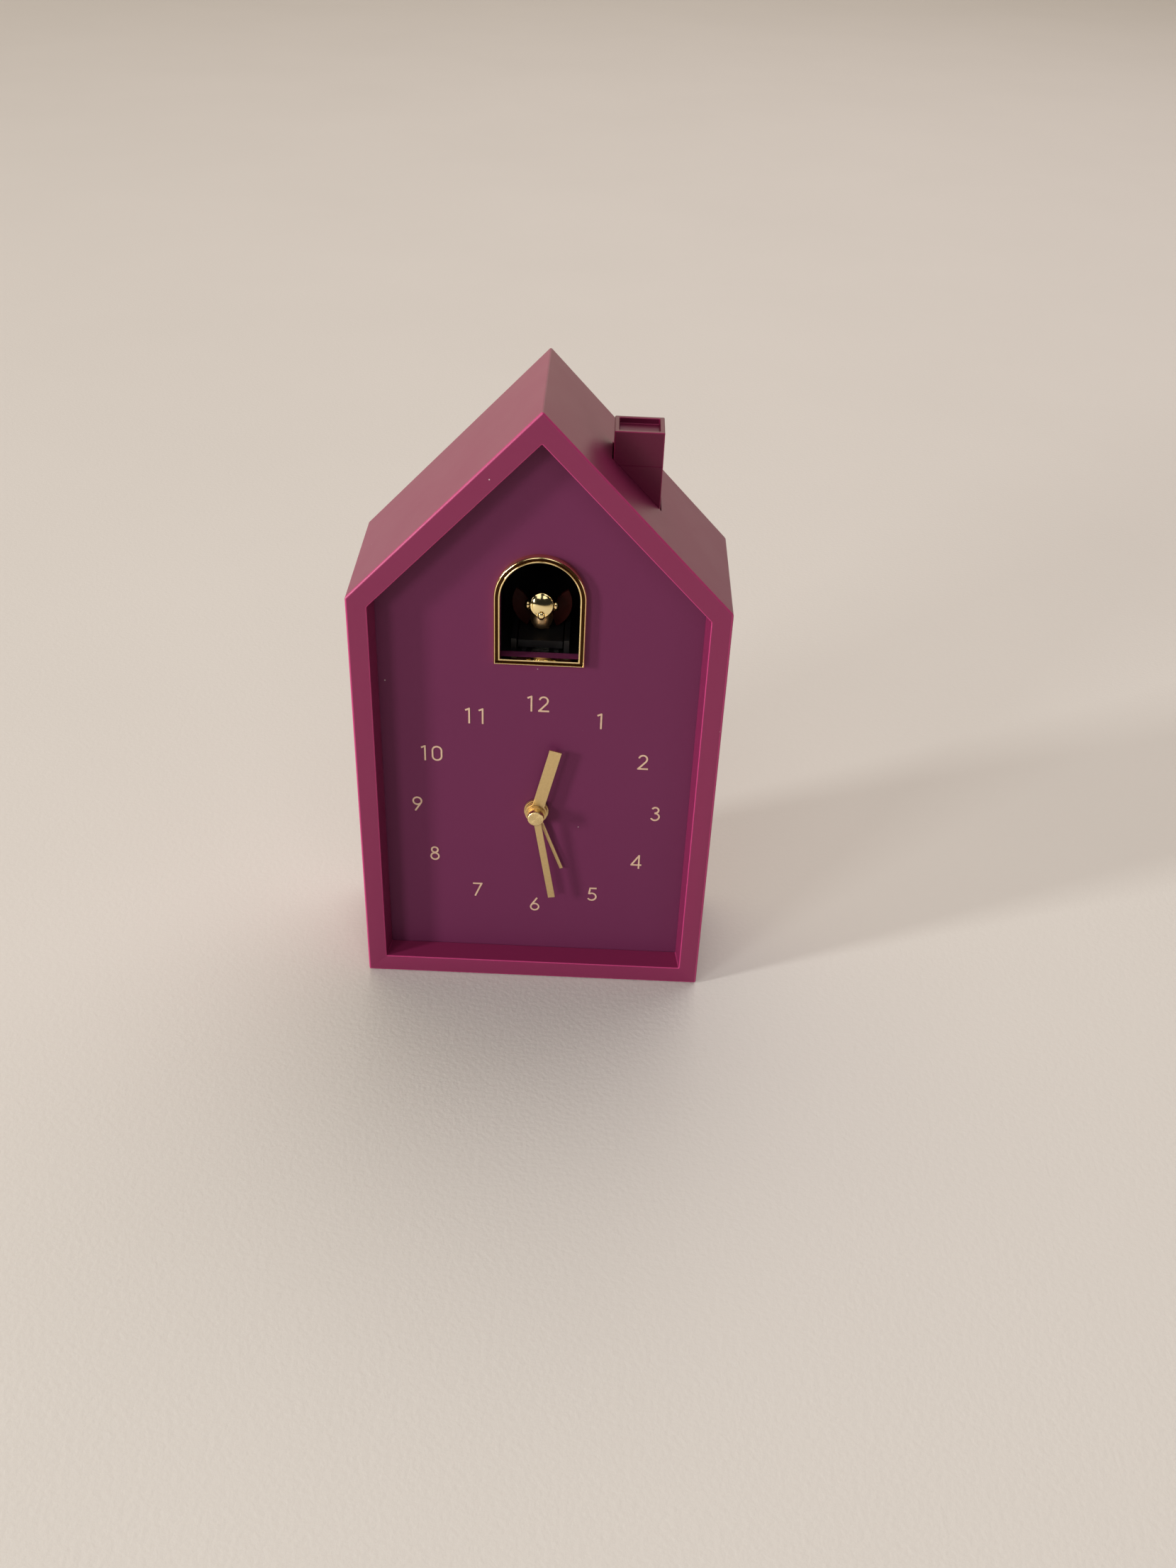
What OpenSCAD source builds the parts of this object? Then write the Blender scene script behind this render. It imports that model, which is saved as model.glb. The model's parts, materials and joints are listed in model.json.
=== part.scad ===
// House-shaped table cuckoo alarm clock with a retracting bird, quartz hand train,
// sprung chimney snooze button and rear battery compartment.
// Front faces -Y, +X is to the right of the dial, +Z is up, origin under the middle of the base.

/* [Case] */
// Width across the side walls
case_w = 127; // [126:1:130]
// Depth from the front rim to the back edge
case_d = 60; // [60:1:64]
// Height of the eaves above the table
eave_h = 156.5; // [156:0.5:160]
// Thickness of the thin walls behind the dial
wall = 3; // [2.5:0.5:3]
// Width of the front rim at its front edge
rim_front = 7.05; // [6.5:0.05:7.5]
// Width of the front rim where it meets the dial
rim_back = 8.45; // [8:0.05:9]
// Depth of the dial behind the front edge
dial_recess = 8.4; // [8:0.1:9]
// Height that the rubber feet hold the case off the table
foot_gap = 0.4; // [0.2:0.1:0.6]

/* [Dial] */
// Height of the hand axis above the table
hub_z = 72.5; // [72:0.5:73]
// Radius of the circle through the numeral centres
numeral_r = 43.3; // [40:0.1:44]
// Width of the printed strokes
stroke_w = 0.6; // [0.4:0.1:0.8]
// Thickness of the printed layer
print_t = 0.12; // [0.08:0.01:0.15]

/* [Hands] */
// Length of the hour hand from the axis
hour_len = 27; // [20:1:30]
// Width of the hour hand
hour_w = 4.4; // [3:0.1:5]
// Angle of the hour hand clockwise from twelve
hour_angle = 14; // [0:1:359]
// Length of the minute hand from the axis
minute_len = 37; // [30:1:39]
// Width of the minute hand
minute_w = 2.55; // [2:0.05:3]
// Angle of the minute hand clockwise from twelve
minute_angle = 170; // [0:1:359]
// Length of the alarm hand from the axis
alarm_len = 27; // [20:1:30]
// Width of the alarm hand
alarm_w = 1.2; // [1:0.1:1.6]
// Angle of the alarm hand clockwise from twelve
alarm_angle = 159; // [0:1:359]

/* [Bird window] */
// Half width of the window opening
window_r = 13.3; // [13:0.1:13.5]
// Height of the window sill
sill_z = 133.6; // [133.4:0.1:133.8]
// Height of the centre of the window arch
arch_z = 155.4; // [155:0.1:156]
// Distance that the window frame stands out of the dial
frame_proud = 2.3; // [2:0.1:2.6]

/* [Chimney] */
// Distance of the chimney axis to the right of the middle
chimney_x = 30; // [30:0.5:31]
// Width of the chimney
chimney_w = 16; // [15.5:0.1:16]
// Depth of the chimney
chimney_d = 14; // [13.5:0.1:14]
// Height of the chimney top above the table
chimney_top = 207; // [204:0.5:209]

/* [Hidden] */
$fn = 48;

half_w = case_w / 2;
apex_h = eave_h + half_w;
front_y = -case_d / 2;
back_y = case_d / 2;
dial_y = front_y + dial_recess;
panel_t = 2.4;
panel_back = dial_y + panel_t;
draft_angle = atan((rim_back - rim_front) / dial_recess);
chimney_y = -1;
gap = 0.3;

// Recessed back cover
cover_t = 2.4;
cover_front = back_y - 4.4;
cover_back = cover_front + cover_t;
cover_lip = 1.8;
screw_bosses = [[-56, 8], [56, 8], [-56, 149], [56, 149], [0, 206]];
rim_screws = [[-57.7, 40], [57.7, 40], [-57.7, 128], [57.7, 128]];
foot_places = [[-52, -20], [52, -20], [-52, 20], [52, 20]];
foot_r = 5;

// Window, chamber and bird
frame_w = 2.15;
bead_w = 0.7;
bead_h = 0.8;
collar_back = panel_back + 1.4;
chamber_front = collar_back + 0.2;
chamber_back = 20.5;
chamber_wall = 1.5;
chamber_r = window_r + 1.1;
chamber_floor = sill_z - 1;
chamber_screws = [[-19.5, 136], [19.5, 136], [-19.5, 150], [19.5, 150]];
platform_z = 133.9;
platform_t = 2.7;
perch_z = platform_z + platform_t;
bird_y = -8;
head_r = 6;
head_z = 146.6;
wing_y = -3.6;
wing_z = 143.6;

// Rack drive of the bird
rack_mod = 0.8;
rack_teeth = 12;
rack_top = chamber_floor - chamber_wall - 0.4;
rack_root = rack_top - 2.7;
rack_pitch_z = rack_root - 1.15 * rack_mod;
rack_y0 = -0.5;
rack_y1 = 22.5;
gear_y = 1.8;
mesh_gap = 0.05;
gear_z = rack_pitch_z - rack_mod * rack_teeth / 2 - mesh_gap;
drive_mod = 0.5;
drive_big = 30;
drive_small = 10;
motor_z = gear_z - drive_mod * (drive_big + drive_small) / 2 - mesh_gap;
cheek_left = -8;
cheek_right = 8.6;
cheek_t = 1.8;
bracket_screws = [[-11, 1.8], [13, 1.8]];

// Quartz movement, layer positions along Y
movement_w = 58;
movement_y0 = dial_y + 3;
movement_y1 = -1;
movement_wall = 1.4;
ear_x = 32.5;
bush_r = 3.2;
alarm_tube_r = 2.55;
hour_tube_r = 1.8;
arbor_r = 1;
run = 0.06;
motion_mod = 0.5;
hour_mod = 0.48;
train_mod = 0.3;
motion_d = motion_mod * (12 + 36) / 2 + mesh_gap;
alarm_gear_y = -16.8;
hour_gear_y = -15.4;
motion_gear_y = -14;
centre_gear_y = -12;
third_gear_y = -10.6;
second_gear_y = -9.2;
inter_gear_y = -7.8;
gear_t = 0.6;
pivot_r = 0.4;
centre_teeth = 64;
third_teeth = 60;
second_teeth = 50;
inter_teeth = 48;
train_pinion = 8;
inter_pinion = 10;
// Train arbors in the plane of the dial, each set off from the one before at its mesh distance
centre_at = [0, hub_z];
third_at = centre_at + mesh_distance(centre_teeth, train_pinion, train_mod) * [0, -1];
second_at = third_at + mesh_distance(third_teeth, train_pinion, train_mod) * [cos(45), -sin(45)];
inter_at = second_at + mesh_distance(second_teeth, inter_pinion, train_mod) * [1, 0];
rotor_at = inter_at + mesh_distance(inter_teeth, train_pinion, train_mod) * [0, 1];
train_places = [third_at, second_at, inter_at, rotor_at];
third_pinion_turn = mesh_turn(-90, centre_teeth, 0, train_pinion);
second_pinion_turn = mesh_turn(-45, third_teeth, 0, train_pinion);
inter_pinion_turn = mesh_turn(0, second_teeth, 0, inter_pinion);
rotor_pinion_turn = mesh_turn(90, inter_teeth, 0, train_pinion);
motion_at = [-motion_d, hub_z];
alarm_at = [motion_d, hub_z];
rotor_hole_r = 3.6;
rotor_magnet_r = 3;
stator_y = -6.8;
limb_x = 20.5;
limb_w = 4.5;
coil_y = -6.3;

// Hand stack in front of the dial
alarm_boss_y = dial_y - 1.6;
hour_boss_y = dial_y - 3.2;
minute_boss_y = dial_y - 4.6;
cap_front = dial_y - 7.1;
boss_t = 1.2;
hand_t = 0.5;
knob_r = 5.2;
knob_y0 = 22;
knob_y1 = back_y - 1;

// Snooze mechanism under the chimney
button_foot = 150.4;
button_bar = 2.3;
snooze_travel = 3;
guide_bottom = button_foot + button_bar + gap;
snooze_board_top = 139.6;
spring_r = 4.9;
spring_wire = 0.35;
plunger_top = 142.6;

// Rear electronics
board_y0 = 17.4;
board_y1 = 19;
board_x = [-54, -22];
board_z = [58, 98];
switch_x = -38;
alarm_switch_z = 86;
mode_switch_z = 68;
speaker_at = [38, 104];
speaker_r = 18;

// Battery compartment
cell_r = 7.1;
cell_len = 50.5;
cell_pitch = 15;
cell_y = 18;
cell_z0 = 18;
tray_x = 28;
tray_z = [9.8, 56.2];
tray_y0 = 9.2;
door_z = [10.2, 55.8];
door_axis_y = 26.8;
door_axis_z = 11.4;
door_pin_r = 0.8;

plum = [0.47, 0.16, 0.31];
plum_dark = [0.38, 0.14, 0.27];
gold = [0.83, 0.66, 0.35];
bright_gold = [0.95, 0.75, 0.3];
black = [0.06, 0.06, 0.07];
brass = [0.72, 0.58, 0.3];
steel = [0.72, 0.73, 0.75];
green = [0.1, 0.35, 0.2];
nylon = [0.9, 0.89, 0.84];

// Axis distance of two gears that mesh
function mesh_distance(a, b, modulus) = modulus * (a + b) / 2 + mesh_gap;

// Turn that lets a gear of b teeth mesh with one of a teeth turned by turn_a, b lying at line_angle from a
function mesh_turn(line_angle, a, turn_a, b) =
    line_angle + 180 + 180 / b - (turn_a - line_angle) * a / b;

// House outline, set in by a distance from the outside
function house(inset) = [
    [-half_w + inset, foot_gap + inset],
    [half_w - inset, foot_gap + inset],
    [half_w - inset, eave_h - inset * (sqrt(2) - 1)],
    [0, apex_h - inset * sqrt(2)],
    [-half_w + inset, eave_h - inset * (sqrt(2) - 1)]
];

// Corner points of a spur gear with straight-sided teeth, one tooth centred on angle 0
function gear_outline(teeth, modulus) = [
    for (k = [0:teeth - 1])
    for (p = [[-1.15, -0.31], [0.85, -0.1], [0.85, 0.1], [-1.15, 0.31]])
    let (r = modulus * (teeth / 2 + p[0]), a = 360 * (k + p[1]) / teeth)
    [r * cos(a), r * sin(a)]
];

// ---- helpers -------------------------------------------------------------------------------

// Extrudes a drawing in the X-Z plane from y0 back to y1
module slab(y0, y1) {
    translate([0, y1, 0])
        rotate([90, 0, 0])
            linear_extrude(y1 - y0)
                children();
}

// Round bar along Y at a place in the X-Z plane
module bar_y(place, r, y0, y1) {
    translate([place[0], y1, place[1]])
        rotate([90, 0, 0])
            cylinder(r = r, h = y1 - y0);
}

// Round bar along X at a place in the Y-Z plane
module bar_x(place, r, x0, x1) {
    translate([x0, place[0], place[1]])
        rotate([0, 90, 0])
            cylinder(r = r, h = x1 - x0);
}

// Block between two corners
module block(low, high) {
    translate(low)
        cube(high - low);
}

module arch_2d(grow) {
    translate([0, arch_z])
        circle(r = window_r + grow, $fn = 96);
    translate([-window_r - grow, sill_z - grow])
        square([2 * (window_r + grow), arch_z - sill_z + grow]);
}

module arch_ring(inner, outer, y0, y1) {
    slab(y0, y1)
        difference() {
            arch_2d(outer);
            arch_2d(inner);
        }
}

// Spur gear about an axis along Y, at a place in the X-Z plane, turned by an angle in that plane
module gear_y_axis(place, teeth, modulus, turn, y0, thick, bore) {
    translate([place[0], 0, place[1]])
        slab(y0, y0 + thick)
            difference() {
                rotate(turn)
                    polygon(gear_outline(teeth, modulus));
                if (bore > 0)
                    circle(r = bore);
            }
}

// Spur gear about an axis along X, turned by an angle in the Y-Z plane
module gear_x_axis(place, teeth, modulus, turn, x0, thick, bore) {
    translate([x0, place[0], place[1]])
        rotate([90, 0, 90])
            linear_extrude(thick)
                difference() {
                    rotate(turn)
                        polygon(gear_outline(teeth, modulus));
                    if (bore > 0)
                        circle(r = bore);
                }
}

// Flat-headed screw along Y, its head towards +Y on the face at y
module screw(place, y, shank_r, length, head_r, head_t) {
    difference() {
        union() {
            bar_y(place, shank_r, y - length, y + head_t / 2);
            bar_y(place, head_r, y, y + head_t);
        }
        translate([place[0], y + head_t, place[1]])
            for (turn = [0, 90])
                rotate([0, turn, 0])
                    cube([head_r * 1.3, head_t, 0.5], center = true);
    }
}

// Compression spring about an axis along Z: a round wire swept along a helix
module helix(radius, wire, height, turns) {
    per_turn = 14;
    sides = 8;
    rings = turns * per_turn;
    points = [
        for (i = [0:rings])
        for (j = [0:sides - 1])
        let (a = 360 * i / per_turn, b = 360 * j / sides, r = radius + wire * cos(b))
        [r * cos(a), r * sin(a), height * i / rings + wire * sin(b)]
    ];
    faces = concat(
        [[for (j = [0:sides - 1]) j]],
        [for (i = [0:rings - 1]) for (j = [0:sides - 1])
            [i * sides + j, (i + 1) * sides + j,
             (i + 1) * sides + (j + 1) % sides, i * sides + (j + 1) % sides]],
        [[for (j = [sides - 1:-1:0]) rings * sides + j]]
    );
    polyhedron(points = points, faces = faces, convexity = 10);
}

// ---- case ----------------------------------------------------------------------------------

// Everything inward of one tapering side of the dial opening
module half_space(point, inward) {
    translate([point[0], front_y, point[1]])
        rotate([0, -inward, 0])
            rotate([0, 0, -draft_angle])
                translate([0, -100, -300])
                    cube([400, 200, 600]);
}

module dial_opening() {
    sides = [
        [[0, foot_gap + rim_front], 90],
        [[half_w - rim_front, 80], 180],
        [[-half_w + rim_front, 80], 0],
        [[0, apex_h - rim_front * sqrt(2)], 225],
        [[0, apex_h - rim_front * sqrt(2)], 315]
    ];
    intersection() {
        block([-half_w, front_y - 1, 0], [half_w, dial_y, apex_h]);
        intersection_for (s = sides)
            half_space(s[0], s[1]);
    }
}

module screw_boss(place) {
    y0 = panel_back + 2.2;
    to_wall = sign(place[0]) * (half_w - wall + 0.5 - abs(place[0]));
    difference() {
        union() {
            bar_y(place, 3.4, y0, cover_front);
            if (place[0] == 0)
                block([-1, y0, place[1]], [1, cover_front, apex_h - wall * sqrt(2) + 1]);
            else
                block([min(place[0], place[0] + to_wall), y0, place[1] - 1],
                      [max(place[0], place[0] + to_wall), cover_front, place[1] + 1]);
        }
        bar_y(place, 1.15, cover_front - 12, cover_front + 1);
    }
}

module house_shell() {
    color(plum) {
        difference() {
            slab(front_y, back_y)
                polygon(house(0));
            dial_opening();
            slab(dial_y, cover_front + 1)
                polygon(house(wall));
            slab(cover_front, back_y + 1)
                polygon(house(cover_lip));
            for (s = rim_screws)
                bar_y(s, 0.9, dial_y - 6.5, dial_y + 1);
            for (f = foot_places)
                translate([f[0], f[1], 0])
                    cylinder(r = foot_r + 0.1, h = foot_gap + 1);
            block([chimney_x - chimney_w / 2 - 0.4, chimney_y - chimney_d / 2 - 0.4, apex_h - 60],
                  [chimney_x + chimney_w / 2 + 0.4, chimney_y + chimney_d / 2 + 0.4, apex_h]);
        }
        for (b = screw_bosses)
            screw_boss(b);
    }
}

module rubber_feet() {
    color(black)
        for (f = foot_places)
            translate([f[0], f[1], 0])
                cylinder(r = foot_r, h = foot_gap + 1);
}

module back_cover() {
    lip_gap = 0.25;
    post_inset = 2.5;
    door_swing_z = door_axis_z - 2.1;
    color(plum_dark)
        difference() {
            union() {
                slab(cover_front, cover_back)
                    polygon(house(cover_lip + lip_gap));
                for (x = [board_x[0] + post_inset, board_x[1] - post_inset],
                     z = [board_z[0] + post_inset, board_z[1] - post_inset])
                    bar_y([x, z], 1.9, board_y1, cover_front);
                difference() {
                    bar_y(speaker_at, speaker_r + 1.8, cover_front - 2, cover_front);
                    bar_y(speaker_at, speaker_r + 0.2, cover_front - 3, cover_front);
                }
            }
            for (s = screw_bosses)
                bar_y(s, 1.5, cover_front - 1, cover_back + 1);
            block([-tray_x - 0.2, cover_front - 1, door_swing_z], [tray_x + 0.2, cover_back + 1, tray_z[1]]);
            bar_x([door_axis_y, door_axis_z], door_pin_r + run, -tray_x - 2, tray_x + 2);
            for (p = [motion_at, alarm_at])
                bar_y(p, knob_r + 0.8, cover_front - 1, cover_back + 1);
            switch_slot(alarm_switch_z, 4);
            switch_slot(mode_switch_z, 6);
            for (ring = [1:3])
                for (k = [0:6 * ring - 1])
                    bar_y(speaker_at + 4.6 * ring * [cos(60 * k / ring), sin(60 * k / ring)], 1.2,
                          cover_front - 1, cover_back + 1);
            bar_y(speaker_at, 1.2, cover_front - 1, cover_back + 1);
        }
}

// Slot in the cover for a slide switch with a given travel, its knob resting at the low end
module switch_slot(z, travel) {
    block([switch_x - 1.7, cover_front - 1, z - 2.4], [switch_x + 1.7, cover_back + 1, z + 2.4 + travel]);
}

module cover_screws() {
    color(steel)
        for (s = screw_bosses)
            screw(s, cover_back, 1.1, 10, 2.6, 1.5);
}

// ---- dial and window -----------------------------------------------------------------------

module dial_panel() {
    color(plum_dark)
        difference() {
            union() {
                slab(dial_y, panel_back)
                    polygon(house(wall + gap));
                slab(panel_back, collar_back)
                    arch_2d(1.6);
                for (s = chamber_screws)
                    bar_y(s, 2.4, panel_back, chamber_front);
                for (x = [-ear_x, ear_x])
                    bar_y([x, hub_z], 2.4, panel_back, movement_y0);
            }
            slab(dial_y - 1, collar_back + 1)
                arch_2d(0);
            bar_y(centre_at, bush_r + 0.2, dial_y - 1, panel_back + 1);
            for (s = rim_screws)
                bar_y(s, 1.1, dial_y - 1, panel_back + 1);
            for (s = chamber_screws)
                bar_y(s, 0.9, dial_y + 0.8, chamber_front + 1);
            for (x = [-ear_x, ear_x])
                bar_y([x, hub_z], 0.9, dial_y + 0.8, movement_y0 + 1);
        }
}

module panel_screws() {
    color(steel) {
        for (s = rim_screws)
            screw(s, panel_back, 0.85, 7.5, 1.8, 1.2);
        for (s = chamber_screws)
            screw(s, chamber_front + 1.4, 0.85, 3.6, 1.8, 1.2);
        for (x = [-ear_x, ear_x])
            screw([x, hub_z], movement_y0 + movement_wall, 0.85, 3.4, 1.8, 1.2);
    }
}

module window_frame() {
    color(bright_gold) {
        arch_ring(0, frame_w, dial_y - frame_proud + bead_h, dial_y);
        for (inner = [0, frame_w - bead_w])
            arch_ring(inner, inner + bead_w, dial_y - frame_proud, dial_y - frame_proud + bead_h);
    }
}

// Straight stroke of a numeral between two points
module stroke(a, b) {
    d = b - a;
    translate(a)
        rotate(atan2(d[1], d[0]))
            translate([-stroke_w / 2, -stroke_w / 2])
                square([norm(d) + stroke_w, stroke_w]);
}

module ring_stroke(centre, r) {
    translate(centre)
        difference() {
            circle(r = r + stroke_w / 2);
            circle(r = r - stroke_w / 2);
        }
}

// Part of a ring between two angles
module arc_stroke(centre, r, from, to) {
    intersection() {
        ring_stroke(centre, r);
        polygon(concat([centre], [for (k = [0:6]) centre + 3 * r * dir(from + (to - from) * k / 6)]));
    }
}

function dir(a) = [cos(a), sin(a)];

// One numeral 6.1 mm tall, its middle on the origin
module digit(n) {
    translate([0, -3.05]) {
        if (n == 0) {
            arc_stroke([0, 4.2], 1.6, 0, 180);
            arc_stroke([0, 1.9], 1.6, 180, 360);
            for (x = [-1.6, 1.6])
                stroke([x, 2.1], [x, 4]);
        }
        if (n == 1) {
            stroke([0.35, 0.3], [0.35, 5.8]);
            stroke([-0.75, 5.35], [0.2, 5.8]);
        }
        if (n == 2) {
            arc_stroke([0, 4.35], 1.45, -32, 168);
            stroke([1.12, 3.3], [-1.45, 0.4]);
            stroke([-1.6, 0.3], [1.65, 0.3]);
        }
        if (n == 3) {
            arc_stroke([-0.1, 4.62], 1.18, -100, 155);
            arc_stroke([-0.1, 1.8], 1.5, -155, 100);
        }
        if (n == 4) {
            stroke([1, 0.3], [1, 5.8]);
            stroke([-1.7, 1.65], [1.7, 1.65]);
            stroke([-1.7, 1.75], [0.85, 5.7]);
        }
        if (n == 5) {
            stroke([-0.75, 5.8], [1.35, 5.8]);
            stroke([-0.8, 5.7], [-1.15, 3.35]);
            arc_stroke([-0.1, 1.9], 1.6, -148, 126);
        }
        if (n == 6) {
            ring_stroke([0, 1.8], 1.5);
            stroke([-1.2, 2.75], [0.7, 5.75]);
        }
        if (n == 7) {
            stroke([-1.5, 5.8], [1.5, 5.8]);
            stroke([1.4, 5.7], [-0.9, 0.3]);
        }
        if (n == 8) {
            ring_stroke([0, 4.65], 1.15);
            ring_stroke([0, 1.75], 1.45);
        }
        if (n == 9) {
            ring_stroke([0, 4.3], 1.5);
            stroke([1.2, 3.35], [-0.7, 0.35]);
        }
    }
}

module numeral(n) {
    if (n < 10)
        digit(n);
    else {
        translate([-2.75, 0])
            digit(1);
        translate([n == 11 ? 1.95 : 1.85, 0])
            digit(n - 10);
    }
}

module dial_numerals() {
    color([0.86, 0.72, 0.6])
        slab(dial_y - print_t, dial_y)
            for (n = [1:12])
                translate([numeral_r * sin(30 * n), hub_z + numeral_r * cos(30 * n)])
                    numeral(n);
}

// ---- bird and its drive --------------------------------------------------------------------

module bird_chamber() {
    color(black)
        difference() {
            union() {
                difference() {
                    union() {
                        slab(chamber_front, chamber_back)
                            arch_2d(chamber_r - window_r + chamber_wall);
                        slab(chamber_front, chamber_front + 1.4)
                            for (z = [136, 150])
                                translate([-22, z - 2.6])
                                    square([44, 5.2]);
                    }
                    slab(chamber_front - 1, chamber_back - chamber_wall) {
                        translate([0, arch_z])
                            circle(r = chamber_r, $fn = 96);
                        translate([-chamber_r, chamber_floor])
                            square([2 * chamber_r, arch_z - chamber_floor]);
                    }
                }
                for (side = [-1, 1]) {
                    block([side * 9 - 0.9, chamber_front + 1.4, chamber_floor - 0.5],
                          [side * 9 + 0.9, chamber_back - 1, perch_z + 0.9]);
                    block([side * 5.5 - 0.8, chamber_front + 1.4, chamber_floor - 0.5],
                          [side * 5.5 + 0.8, chamber_back - 1, platform_z - gap]);
                }
            }
            block([-3, chamber_front + 0.4, chamber_floor - 5], [3, 16.6, chamber_floor + 1]);
            for (s = chamber_screws)
                bar_y(s, 1.1, chamber_front - 1, chamber_front + 2);
            for (s = bracket_screws)
                translate([s[0], s[1], chamber_floor - 4])
                    cylinder(r = 0.9, h = 3.8);
        }
}

// Sliding platform with a neck through the chamber floor and a rack under it
module bird_carriage() {
    pitch = PI * rack_mod;
    color(black) {
        block([-7.6, -15, platform_z], [7.6, 14, perch_z]);
        block([-2.6, 1.5, rack_top - 0.5], [2.6, 16, platform_z + 0.5]);
        block([-5, rack_y0, rack_root - 0.1], [5, rack_y1, rack_top]);
        for (k = [0:8])
            translate([-2.5, gear_y + pitch * k, rack_pitch_z])
                rack_tooth(pitch);
    }
}

// One downward rack tooth, centred on Y
module rack_tooth(pitch) {
    root = 1.15 * rack_mod + 0.05;
    tip = 0.85 * rack_mod;
    rotate([90, 0, 90])
        linear_extrude(5)
            polygon([[-0.31 * pitch, root], [-0.1 * pitch, -tip], [0.1 * pitch, -tip], [0.31 * pitch, root]]);
}

module bird_body() {
    color(bright_gold)
        difference() {
            union() {
                translate([0, bird_y, head_z])
                    sphere(r = head_r);
                translate([0, bird_y + 3, perch_z + 0.8])
                    egg(4.9, 11);
                translate([0, bird_y - head_r + 0.6, head_z - 1.2])
                    rotate([98, 0, 0])
                        cylinder(r1 = 1.7, r2 = 0.3, h = 3.2);
                translate([0, bird_y + 6.2, perch_z + 3.4])
                    rotate([-62, 0, 0])
                        cylinder(r1 = 2.6, r2 = 1.2, h = 8.5);
                for (x = [-1.9, 1.9])
                    translate([x, bird_y + 3, perch_z])
                        cylinder(r = 0.8, h = 3);
            }
            bar_x([wing_y, wing_z], 0.65, -6, 6);
            for (x = [-6, 3.4])
                block([x, wing_y - 0.7, wing_z - 5], [x + 2.6, wing_y + 0.7, wing_z + 3]);
        }
}

// Body of revolution with a round bottom and a narrower top
module egg(radius, height) {
    rotate_extrude($fn = 64)
        polygon([for (k = [0:16])
            let (a = 180 * k / 16 - 90)
            [max(0, radius * cos(a) * (1 - 0.12 * sin(a))), height / 2 * (1 + sin(a))]]);
}

// Leaf-shaped wing on a peg, drawn for the side where X is positive
module wing() {
    leaf_r = 9.6;
    leaf_off = 6.6;
    translate([7, wing_y, wing_z])
        rotate([0, 16, 0])
            slab(-0.6, 0.6)
                intersection() {
                    translate([-leaf_off, 0])
                        circle(r = leaf_r);
                    translate([leaf_off, 0])
                        circle(r = leaf_r);
                }
    bar_x([wing_y, wing_z], 0.6, 2.6, 6.5);
}

module bird_wing_right() {
    color(bright_gold)
        wing();
}

module bird_wing_left() {
    color(bright_gold)
        mirror([1, 0, 0])
            wing();
}

module drive_bracket() {
    y0 = gear_y - 8;
    y1 = gear_y + 8;
    z1 = chamber_floor - chamber_wall - 0.2;
    z0 = motor_z - 7.5;
    color(nylon)
        difference() {
            union() {
                block([cheek_left, y0, z0], [cheek_left + cheek_t, y1, z1]);
                block([cheek_right, y0, z0], [cheek_right + cheek_t, y1, z1]);
                block([cheek_left, y0, z0], [cheek_right + cheek_t, y1, z0 + cheek_t]);
                block([bracket_screws[0][0] - 2.5, y0, z1 - 1.6], [cheek_left + 1, y1, z1]);
                block([cheek_right, y0, z1 - 1.6], [bracket_screws[1][0] + 2.5, y1, z1]);
            }
            bar_x([gear_y, gear_z], arbor_r + 0.02, cheek_left - 1, cheek_right + cheek_t + 1);
            bar_x([gear_y, motor_z], 1.6, cheek_right - 1, cheek_right + cheek_t + 1);
            for (s = bracket_screws)
                translate([s[0], s[1], z1 - 3])
                    cylinder(r = 1, h = 5);
        }
}

module drive_axle() {
    color(steel)
        bar_x([gear_y, gear_z], arbor_r, cheek_left, cheek_right + cheek_t);
}

module drive_screws() {
    z1 = chamber_floor - chamber_wall - 0.2;
    color(steel)
        for (s = bracket_screws)
            translate([s[0], s[1], z1 - 1.6]) {
                translate([0, 0, -0.6])
                    cylinder(r = 0.85, h = 3.6);
                translate([0, 0, -1.2])
                    cylinder(r = 1.8, h = 1.2);
            }
}

// Compound gear: a wide pinion under the rack and a larger gear driven by the motor
module rack_gear() {
    bore = arbor_r + run;
    pinion_turn = 90 + 180 / rack_teeth;
    color(nylon) {
        gear_x_axis([gear_y, gear_z], rack_teeth, rack_mod, pinion_turn, -2.5, 5, bore);
        for (x = [[-6, -2.5], [2.5, 6]])
            difference() {
                bar_x([gear_y, gear_z], 2.4, x[0], x[1]);
                bar_x([gear_y, gear_z], bore, x[0] - 1, x[1] + 1);
            }
        gear_x_axis([gear_y, gear_z], drive_big, drive_mod, 0, 6, 1.6, bore);
    }
}

module bird_motor() {
    x0 = cheek_right + cheek_t;
    color(steel)
        difference() {
            union() {
                bar_x([gear_y, motor_z], 6, x0, x0 + 15);
                bar_x([gear_y, motor_z], 1.5, x0 - 1.2, x0);
                bar_x([gear_y, motor_z], 2.2, x0 + 15, x0 + 16);
            }
            bar_x([gear_y, motor_z], 0.8 + run, x0 - 2, x0 + 10);
        }
}

module motor_pinion() {
    x0 = cheek_right + cheek_t;
    turn = mesh_turn(-90, drive_big, 0, drive_small);
    color(brass) {
        gear_x_axis([gear_y, motor_z], drive_small, drive_mod, turn, 5.7, 2.1, 0);
        bar_x([gear_y, motor_z], 0.8, 7.8, x0 + 9);
    }
}

// ---- quartz movement -----------------------------------------------------------------------

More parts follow.
